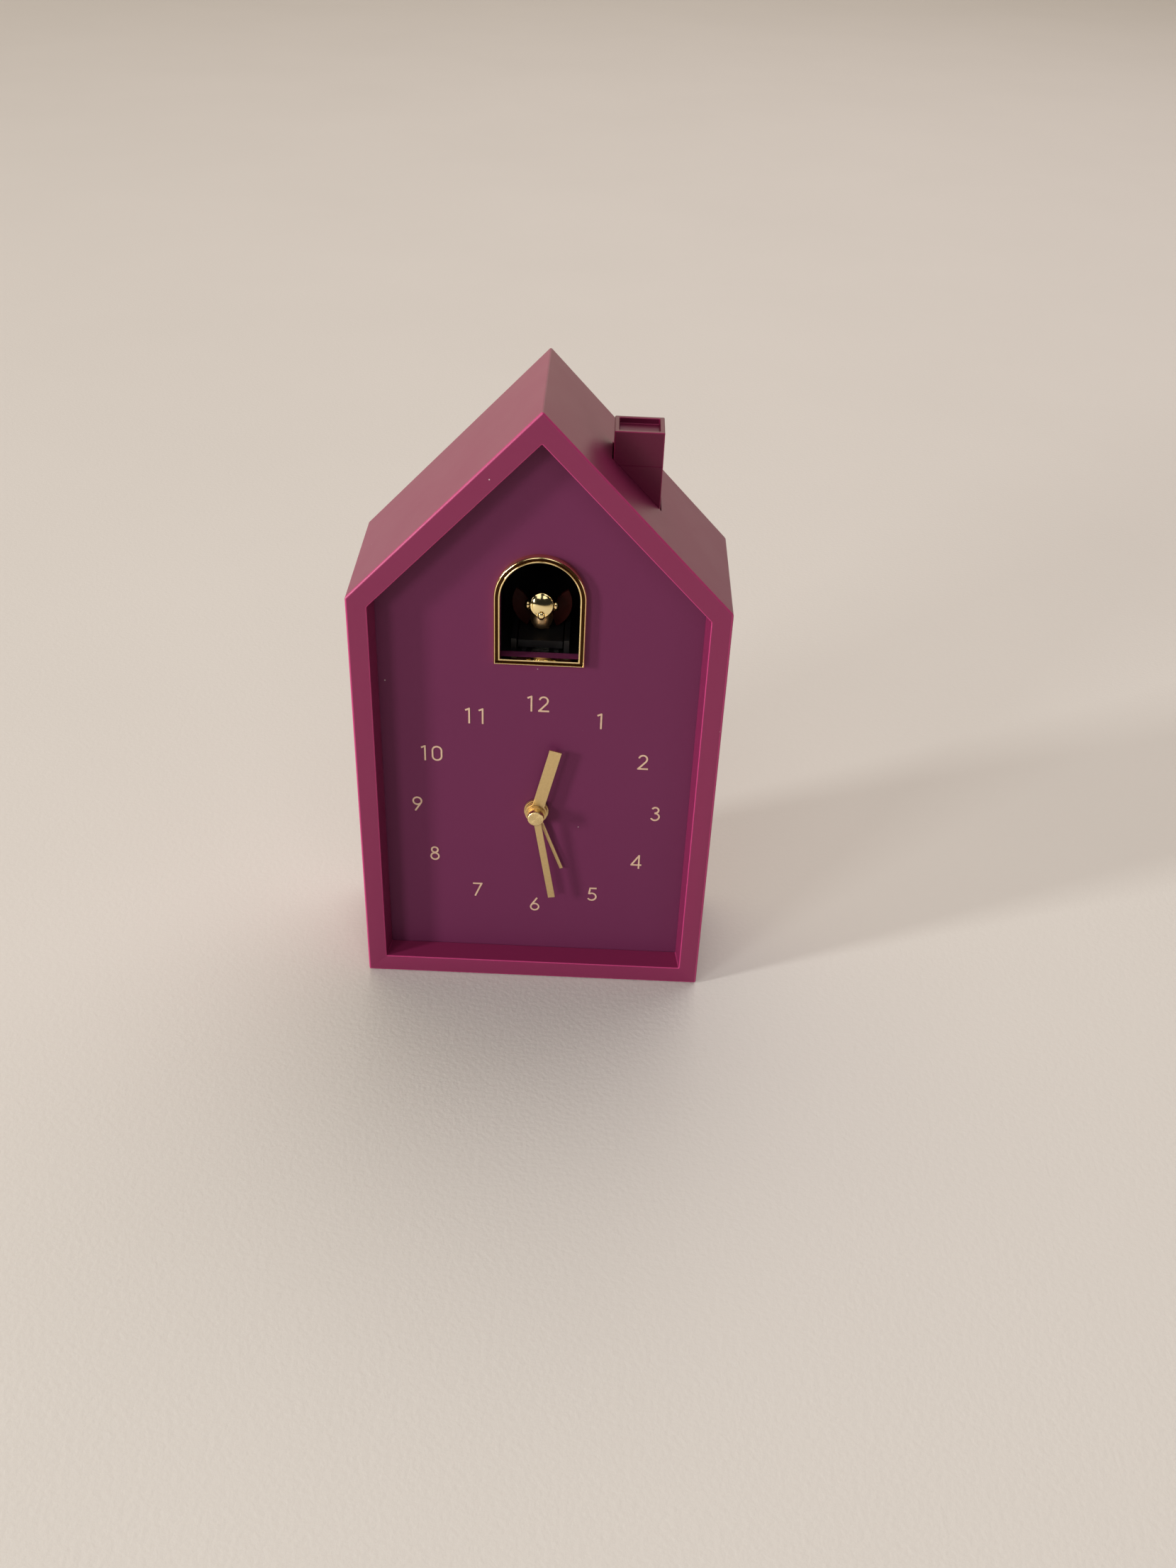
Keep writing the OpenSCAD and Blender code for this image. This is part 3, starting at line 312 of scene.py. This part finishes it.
def make_finishes():
    made = (
        # The case and the chimney get a painted highlight, a lighter plum, on their rounded edges.
        plum_plastic("case_plastic", (0.225, 0.019, 0.080), 0.34, 0.000012, 0.4, painted_edge_highlight=True),
        moulded_line(plum_plastic("chimney_plastic", (0.150, 0.0095, 0.046), 0.36, 0.000012, 0.3,
                                  painted_edge_highlight=True)),
        plum_plastic("dial_plastic", (0.150, 0.026, 0.083), 0.46, 0.000016, 0.15),
        plum_plastic("back_plastic", (0.180, 0.018, 0.070), 0.50, 0.00003, 0.4),
        Finish("dial_print", (0.72, 0.50, 0.36), 0.5)
        .vary(900, (0.64, 0.43, 0.30)).grain(3000, 0.00001),
        Finish("gold_trim", (1.0, 0.80, 0.42), 0.09, 1.0)
        .roughen(400, 0.06, 0.13).vary(150, (0.95, 0.72, 0.34), 0.5).grain(700, 0.000006),
        # Near-black gold for the channel between the trim's beads: painted shade and a painted dark
        # reflection.
        Finish("trim_channel", (0.055, 0.023, 0.009), 0.24, 1.0)
        .roughen(500, 0.16, 0.3).vary(200, (0.035, 0.014, 0.005), 0.7),
        # The wings are gilt leaf; this near-black red-brown is painted shade and a painted dark reflection in
        # place of their gold.
        Finish("wing_gilt_painted_shade", (0.022, 0.004, 0.003), 0.55, 0.0, Specular_IOR_Level=0.08)
        .roughen(300, 0.36, 0.52).vary(120, (0.035, 0.004, 0.003), 0.8),
        Finish("breast_gilt", (0.60, 0.42, 0.24), 0.42, 1.0)
        .roughen(500, 0.36, 0.48).vary(300, (0.48, 0.32, 0.17), 0.8),
        Finish("bird_gilt", (1.0, 0.82, 0.44), 0.08, 1.0)
        .roughen(400, 0.05, 0.12).vary(200, (0.95, 0.74, 0.36), 0.5).grain(330, 0.00006, detail=1),
        spun_metal(),
        Finish("hand_metal", (0.82, 0.61, 0.30), 0.40, 1.0)
        .roughen(900, 0.34, 0.48).vary(1500, (0.72, 0.53, 0.26), 0.6).grain(5000, 0.00001),
        Finish("black_plastic", (0.007, 0.007, 0.008), 0.38, Specular_IOR_Level=0.3)
        .roughen(200, 0.32, 0.46).vary(90, (0.011, 0.011, 0.011)).grain(2200, 0.00002),
        Finish("knob_plastic", (0.022, 0.022, 0.024), 0.42)
        .roughen(300, 0.36, 0.5).vary(120, (0.032, 0.032, 0.034)).grain(2600, 0.00002),
        Finish("nylon", (0.80, 0.79, 0.72), 0.42)
        .roughen(250, 0.36, 0.5).vary(140, (0.73, 0.71, 0.63)).grain(1800, 0.000015),
        Finish("steel", (0.58, 0.58, 0.60), 0.28, 1.0)
        .roughen(700, 0.22, 0.36, stretch=(1, 1, 6)).vary(260, (0.50, 0.50, 0.52))
        .grain(3200, 0.000006, stretch=(1, 1, 8)),
        Finish("brass", (0.74, 0.55, 0.25), 0.27, 1.0)
        .roughen(600, 0.2, 0.36).vary(300, (0.62, 0.44, 0.19)).grain(3200, 0.000006),
        Finish("magnet", (0.10, 0.10, 0.105), 0.45, 0.6)
        .roughen(500, 0.38, 0.55).vary(400, (0.06, 0.06, 0.065)).grain(2600, 0.00001),
        copper_winding(),
        circuit_board(),
        Finish("cone_paper", (0.03, 0.028, 0.027), 0.85)
        .vary(700, (0.05, 0.047, 0.044)).grain(1500, 0.00005, detail=6),
        battery_jacket(),
        Finish("foot_rubber", (0.022, 0.022, 0.022), 0.7)
        .roughen(400, 0.62, 0.8).vary(300, (0.03, 0.03, 0.03)).grain(1800, 0.00003),
        Finish("floor", (0.78, 0.775, 0.735), 0.62)
        .vary(5, (0.755, 0.75, 0.71), 0.7).grain(500, 0.00012, detail=5),
    )
    return {finish.name: finish.material for finish in made}


def spun_metal():
    """Turned brass face: the highlight runs in wedges from the middle."""
    finish = Finish("spun_gold", (0.95, 0.74, 0.38), 0.26, 1.0, Anisotropic=0.85)
    turning = finish.node("Tangent", direction_type="RADIAL", axis="Y")
    finish.link(turning.outputs["Tangent"], finish.shader.inputs["Tangent"])
    return finish.vary(900, (0.84, 0.62, 0.29), 0.6).roughen(1400, 0.2, 0.34)


def copper_winding():
    """Enamelled wire in level turns, with painted shade: darker copper in the grooves between them."""
    finish = Finish("copper", (0.55, 0.20, 0.07), 0.3, 0.9)
    wires = finish.node("TexWave", wave_type="BANDS", bands_direction="Z")
    wires.inputs["Scale"].default_value = 900
    finish.link(finish.place(), wires.inputs["Vector"])
    # Painted shade in the grooves between the turns.
    finish.blend_colour(finish.spread(wires.outputs["Fac"], 0, 0.5, 0.7, 0), (0.22, 0.07, 0.02))
    return finish.bump(wires.outputs["Fac"], 0.00006)


def circuit_board():
    """Green solder mask with paler tracks under it and tinned pads."""
    finish = Finish("circuit", (0.018, 0.12, 0.045), 0.3)
    tracks = finish.cells(330, "DISTANCE_TO_EDGE")
    line = finish.spread(tracks.outputs["Distance"], 0.05, 0.08, 1, 0)
    finish.blend_colour(line, (0.05, 0.24, 0.09))
    pads = finish.cells(400)
    finish.blend_colour(finish.spread(pads.outputs["Distance"], 0.12, 0.1), (0.62, 0.60, 0.55))
    return finish.bump(line, 0.00003).grain(2000, 0.00001)


def battery_jacket():
    """Plain shrink sleeve, dark with a copper-coloured band at the end on the clock's +X side."""
    finish = Finish("battery_jacket", (0.03, 0.035, 0.045), 0.26)
    finish.blend_colour(finish.spread(finish.height("X"), 0.0118, 0.0122), (0.50, 0.23, 0.08))
    return finish.roughen(300, 0.2, 0.32).grain(900, 0.00002)


# ---- mesh helpers ----------------------------------------------------------------------------

def add_piece(name, mesh, node, body, finish):
    """A visible piece that stands for a CAD node."""
    piece = bpy.data.objects.new(name, mesh)
    bpy.context.scene.collection.objects.link(piece)
    mesh.materials.append(finishes[finish])
    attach(piece, body)
    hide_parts(node)
    return piece


def merged_copy(node):
    """The node's mesh as a bmesh with shared corners and whole flat faces."""
    shape = bmesh.new()
    shape.from_mesh(frame["nodes"][node].data)
    bmesh.ops.remove_doubles(shape, verts=shape.verts, dist=0.000002)
    bmesh.ops.dissolve_limit(shape, angle_limit=math.radians(0.6), verts=shape.verts, edges=shape.edges)
    return shape


def to_mesh(shape, name, smooth_angle=35):
    bmesh.ops.recalc_face_normals(shape, faces=shape.faces)
    mesh = bpy.data.meshes.new(name)
    shape.to_mesh(mesh)
    shape.free()
    mesh.shade_smooth()
    mesh.set_sharp_from_angle(angle=math.radians(smooth_angle))
    return mesh


def soften(node, name, body, finish, radius_at, segments=3, angle=28, crease=None, clamp=False):
    """Copies a node with its edges rounded: radius_at(edge) gives each sharp edge's radius, or 0 to leave it.

    An edge is sharp if its faces turn by more than angle. crease, or else angle, is the turn above which what
    isn't rounded is shaded sharp. clamp holds every radius down to what the shortest edge allows, which fine
    detail needs."""
    shape = merged_copy(node)
    shape.edges.index_update()
    radii = {edge.index: radius_at(edge) for edge in shape.edges
             if len(edge.link_faces) == 2 and edge.calc_face_angle(0) > math.radians(angle)}
    widest = max(radii.values())
    mesh = bpy.data.meshes.new(name)
    shape.to_mesh(mesh)
    shape.free()
    mesh.shade_smooth()
    mesh.set_sharp_from_angle(angle=math.radians(crease or angle))
    weights = mesh.attributes.new("bevel_weight_edge", "FLOAT", "EDGE")
    weights.data.foreach_set("value", [radii.get(i, 0) / widest for i in range(len(mesh.edges))])
    piece = add_piece(name, mesh, node, body, finish)
    bevel = piece.modifiers.new("rounded", "BEVEL")
    bevel.limit_method = "WEIGHT"
    bevel.width = widest
    bevel.segments = segments
    bevel.harden_normals = True
    bevel.miter_outer = "MITER_ARC"
    bevel.use_clamp_overlap = clamp
    return piece


def lathe(profile, segments, place=(0, 0, 0), tilt=0):
    """Turns a profile of (radius, distance) points about an axis: +Z, tilted towards -Y."""
    shape = bmesh.new()
    rings = []
    for radius, along in profile:
        if radius < 1e-7:
            rings.append([shape.verts.new((0, 0, along))])
        else:
            rings.append([shape.verts.new((radius * math.cos(math.tau * k / segments),
                                           radius * math.sin(math.tau * k / segments), along))
                          for k in range(segments)])
    for low, high in zip(rings, rings[1:]):
        for k in range(segments):
            after = (k + 1) % segments
            corners = [low[k % len(low)], low[after % len(low)], high[after % len(high)], high[k % len(high)]]
            unique = list(dict.fromkeys(corners))
            if len(unique) > 2:
                shape.faces.new(unique)
    shape.transform(Matrix.Translation(place) @ Matrix.Rotation(math.radians(tilt), 4, "X"))
    return shape


def gathered(shapes):
    """Several shapes as one."""
    whole = bmesh.new()
    for shape in shapes:
        part = bpy.data.meshes.new("part")
        shape.to_mesh(part)
        shape.free()
        whole.from_mesh(part)
        bpy.data.meshes.remove(part)
    return whole


def arc(centre, radius, from_angle, to_angle, steps):
    """Points of an arc in a profile plane, angles in degrees."""
    angles = [math.radians(from_angle + (to_angle - from_angle) * k / steps) for k in range(steps + 1)]
    return [(centre[0] + radius * math.cos(a), centre[1] + radius * math.sin(a)) for a in angles]


def ball(place, radii, steps=28):
    """Closed rounded body with a different radius along each axis."""
    profile = arc((0, 0), 1, -90, 90, steps)
    profile[0], profile[-1] = (0, -1), (0, 1)
    shape = lathe(profile, 56)
    shape.transform(Matrix.Translation(place) @ Matrix.Diagonal((*radii, 1)))
    return shape


# ---- case ------------------------------------------------------------------------------------

def outline_gap(point):
    """Distance of a point inside the house outline."""
    return min(half_width - abs(point.x), point.z - base_z, (apex_z - abs(point.x) - point.z) / math.sqrt(2))


def case_edge(edge):
    """The edge's radius: large on the outer corners, small round the chimney's slot, none inside."""
    if edge.calc_length() < 2 * MM:
        return 0
    a, b = (v.co for v in edge.verts)

    def both_at(y):
        return max(abs(a.y - y), abs(b.y - y)) < TIGHT

    def both_off(y):
        return min(abs(a.y - y), abs(b.y - y)) > 10 * MM

    if max(outline_gap(a), outline_gap(b)) < TIGHT:
        on_roof = abs(a.x) > TIGHT and max(a.z, b.z) > apex_z - half_width
        slot_rim = on_roof and both_off(front_y) and both_off(back_y)
        return 0.25 * MM if slot_rim else 0.65 * MM
    if both_at(front_y) or both_at(back_y):
        return 0.3 * MM
    in_opening = max(a.y, b.y) < dial_y + TIGHT
    return 0.35 * MM if in_opening else 0


def make_case():
    soften("house_shell", "case_shell", "case", "case_plastic", case_edge)


def make_chimney():
    """Only what stands out of the roof is rounded. The tray on top is made 2 mm deep."""
    skirt_z = apex_z - chimney_high.x - 4 * MM
    tray_z = chimney_high.z - 3 * MM
    tray_rise = 1 * MM

    def chimney_edge(edge):
        return 0.35 * MM if max(v.co.z for v in edge.verts) > skirt_z else 0

    cap = soften("chimney_button", "chimney_cap", "chimney", "chimney_plastic", chimney_edge)
    for vert in cap.data.vertices:
        if abs(vert.co.z - tray_z) < TIGHT:
            vert.co.z += tray_rise


def make_snooze_coil():
    """The return spring, which shortens as the chimney is pressed; here a smooth copy of its CAD mesh, kept
    on the case.
    """
    mesh = to_mesh(merged_copy("snooze_spring"), "snooze_coil")
    coil = add_piece("snooze_coil", mesh, "snooze_spring", "case", "steel")
    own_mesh(coil)


def make_back():
    """The cover and the door are rounded only along their outlines."""
    def outline_edge(edge):
        return 0.25 * MM if edge.calc_length() > 20 * MM else 0

    for node, name, body in (("back_cover", "rear_cover", "case"),
                             ("battery_door", "rear_battery_door", "battery_door")):
        soften(node, name, body, "back_plastic", outline_edge, segments=2, angle=40, crease=10)
    for node, body in (("time_knob", "motion"), ("alarm_knob", "alarm_setting")):
        soften(node, node + "_grip", body, "knob_plastic", lambda edge: 0.15 * MM,
               segments=2, angle=30, clamp=True)


# ---- window trim -----------------------------------------------------------------------------

def arch_points(grow, steps=72):
    """The window outline grown by a distance: along the sill to the right, then up and over the arch."""
    outer = trim_high.x
    radius = outer - TRIM_WIDTH + grow
    arch_z = trim_high.z - outer
    low_z = trim_low.z + TRIM_WIDTH - grow
    points = [(-radius, low_z), (radius, low_z)]
    points += [(radius * math.cos(math.pi * k / steps), arch_z + radius * math.sin(math.pi * k / steps))
               for k in range(steps + 1)]
    return points


def arch_strip(profile):
    """Carries a closed profile of (distance outward, y) points round the window outline."""
    shape = bmesh.new()
    loops = [[shape.verts.new((x, y, z)) for x, z in arch_points(grow)] for grow, y in profile]
    for inner, outer in zip(loops, loops[1:] + loops[:1]):
        for k in range(len(inner)):
            after = (k + 1) % len(inner)
            shape.faces.new((inner[k], inner[after], outer[after], outer[k]))
    return shape


def make_trim():
    """A round inner bead and a sloping outer one, with a channel between them in near-black gold: painted
    shade and a painted dark reflection.
    """
    bead = 0.28 * MM
    crest = trim_low.y
    inner = [(0, dial_y)]
    inner += [(bead - across, crest + bead - out) for across, out in arc((0, 0), bead, 0, 180, 9)]
    inner += [(2 * bead, dial_y)]
    # The outer bead slopes gently outward, so that it carries a broad highlight.
    slope, first, last = 1.7 * MM, 10, 46
    low_edge = TRIM_WIDTH - 0.62 * MM
    outer = [(low_edge, dial_y), (low_edge, crest + 0.22 * MM), (low_edge + 0.06 * MM, crest + 0.07 * MM)]
    for a in range(first, last + 1, 4):
        across = math.sin(math.radians(a)) - math.sin(math.radians(first))
        fall = math.cos(math.radians(first)) - math.cos(math.radians(a))
        outer.append((low_edge + 0.14 * MM + slope * across * 0.48, crest + slope * fall))
    outer += [(TRIM_WIDTH, outer[-1][1] + 0.12 * MM), (TRIM_WIDTH, dial_y)]
    beads = gathered([arch_strip(inner), arch_strip(outer)])
    add_piece("window_trim", to_mesh(beads, "window_trim", 50), "window_frame", "case", "gold_trim")
    overlap, bevel = 0.02 * MM, 0.15 * MM
    low, high = 2 * bead - overlap, low_edge + overlap
    floor_y, rim_y = crest + 0.8 * MM, crest + 0.6 * MM
    channel = [(low, dial_y), (low, rim_y), (low + bevel, floor_y), (high - bevel, floor_y), (high, rim_y),
               (high, dial_y)]
    # The channel strip carries the painted shade of the groove.
    mesh = to_mesh(arch_strip(channel), "window_trim_channel", 30)
    add_piece("window_trim_channel", mesh, "window_frame", "case", "trim_channel")


# ---- bird ------------------------------------------------------------------------------------

def make_skull(head):
    """A round back and a shallow domed face, tilted up a little and narrowing to a chin."""
    half = 4.25 * MM
    brow, brow_at = 0.7 * MM, 1.1 * MM
    dome = 9.5 * MM
    # The brow's arc meets the dome's at this angle.
    meet = math.acos((half - brow) / dome)
    dome_at = brow_at + (brow - dome) * math.sin(meet)
    profile = arc((0, 0), half, -90, 0, 18)
    profile[0] = (0, -half)
    profile += arc((half - brow, brow_at), brow, 0, math.degrees(meet), 8)
    profile += arc((0, dome_at), dome, math.degrees(meet), 90, 20)[1:]
    profile[-1] = (0, dome_at + dome)
    skull = lathe(profile, 96, tilt=78)
    for vert in skull.verts:
        towards_chin = min(0, vert.co.z / half)
        vert.co.x *= 1 - 0.42 * towards_chin ** 2
        vert.co.z *= 1.09
    skull.transform(Matrix.Translation(head))
    return skull


def make_bird():
    head = Vector((0, bird_low.y + 8.6 * MM, bird_high.z - 6.2 * MM))
    foot_z = bird_low.z

    def head_ball(offset, radii, steps):
        return ball(head + Vector(offset) * MM, Vector(radii) * MM, steps)

    beak = head_ball((0, -3.0, -2.8), (1.25, 0.6, 1.45), 18)
    neck = head_ball((0, 1.9, -1), (4.9, 3.3, 3.3), 28)
    cheeks = [head_ball((side * 4.75, 0.5, -0.4), (1.2, 1.5, 1.9), 18) for side in (-1, 1)]
    tail_profile = [(radius * MM, along * MM) for radius, along in
                    ((0, 0), (2.4, 0.2), (2.5, 1.2), (1.9, 5), (1.2, 8.1), (0.8, 8.5), (0, 8.6))]
    tail = lathe(tail_profile, 36, Vector((0, head.y + 6.2 * MM, foot_z + 3.4 * MM)), tilt=-62)
    gilt = gathered([make_skull(head), beak, neck, tail] + cheeks)
    add_piece("bird_gilt", to_mesh(gilt, "bird_gilt", 50), "bird_body", "bird", "bird_gilt")

    chest = ball(Vector((0, head.y + 2.6 * MM, foot_z + 4.05 * MM)), Vector((3.9, 4.9, 3.95)) * MM)
    leg_profile = [(radius * MM, along * MM) for radius, along in
                   ((0, 0), (0.8, 0), (0.75, 1.5), (0.9, 3), (0, 3.1))]
    legs = [lathe(leg_profile, 24, Vector((side * 1.9 * MM, head.y + 3 * MM, foot_z))) for side in (-1, 1)]
    add_piece("bird_breast", to_mesh(gathered([chest] + legs), "bird_breast", 50), "bird_body", "bird",
              "breast_gilt")
    # The wings carry painted shade: a near-black red-brown in place of gilt.
    for side in ("left", "right"):
        soften("bird_wing_" + side, "bird_wing_leaf_" + side, "bird", "wing_gilt_painted_shade", lambda edge: 0.3 * MM,
               angle=40, clamp=True)


# ---- hands -----------------------------------------------------------------------------------

def make_hands():
    for node, body in (("alarm_hand", "alarm"), ("hour_hand", "hour"), ("minute_hand", "minute")):
        soften(node, node + "_blade", body, "hand_metal", lambda edge: 0.09 * MM,
               segments=2, angle=40, clamp=True)


def make_cap():
    """The turned cap in the middle of the hands: a foot chamfer, a round shoulder and a barely domed face."""
    radius = (cap_high.x - cap_low.x) / 2
    length = cap_high.y - cap_low.y
    shoulder = 0.55 * MM
    profile = [(0, 0), (radius - 0.15 * MM, 0), (radius, 0.12 * MM)]
    profile += arc((radius - shoulder, length - shoulder), shoulder, 0, 80, 8)
    profile += [(radius * 0.62, length - 0.03 * MM), (radius * 0.3, length - 0.01 * MM), (0, length)]
    shape = lathe(profile, 96, Vector((0, cap_high.y, (cap_low.z + cap_high.z) / 2)), tilt=90)
    add_piece("turned_cap", to_mesh(shape, "turned_cap"), "hand_cap", "minute", "spun_gold")


# ---- everything else keeps its CAD shape and gets its finish ----------------------------------

def finish_nodes():
    """Every CAD node's own material, from its slot in the record."""
    for row in frame["record"]["subparts"]:
        node = frame["nodes"][row["node"]]
        node.data.materials.clear()
        node.data.materials.append(finishes[row["material_slot"]])


finishes = make_finishes()
make_camera()
make_lights()
make_room_glow()
make_floor()
finish_nodes()
make_case()
make_chimney()
make_snooze_coil()
make_back()
make_trim()
make_bird()
make_hands()
make_cap()

scene = bpy.context.scene
scene.view_settings.view_transform = "Standard"
scene.view_settings.look = "None"
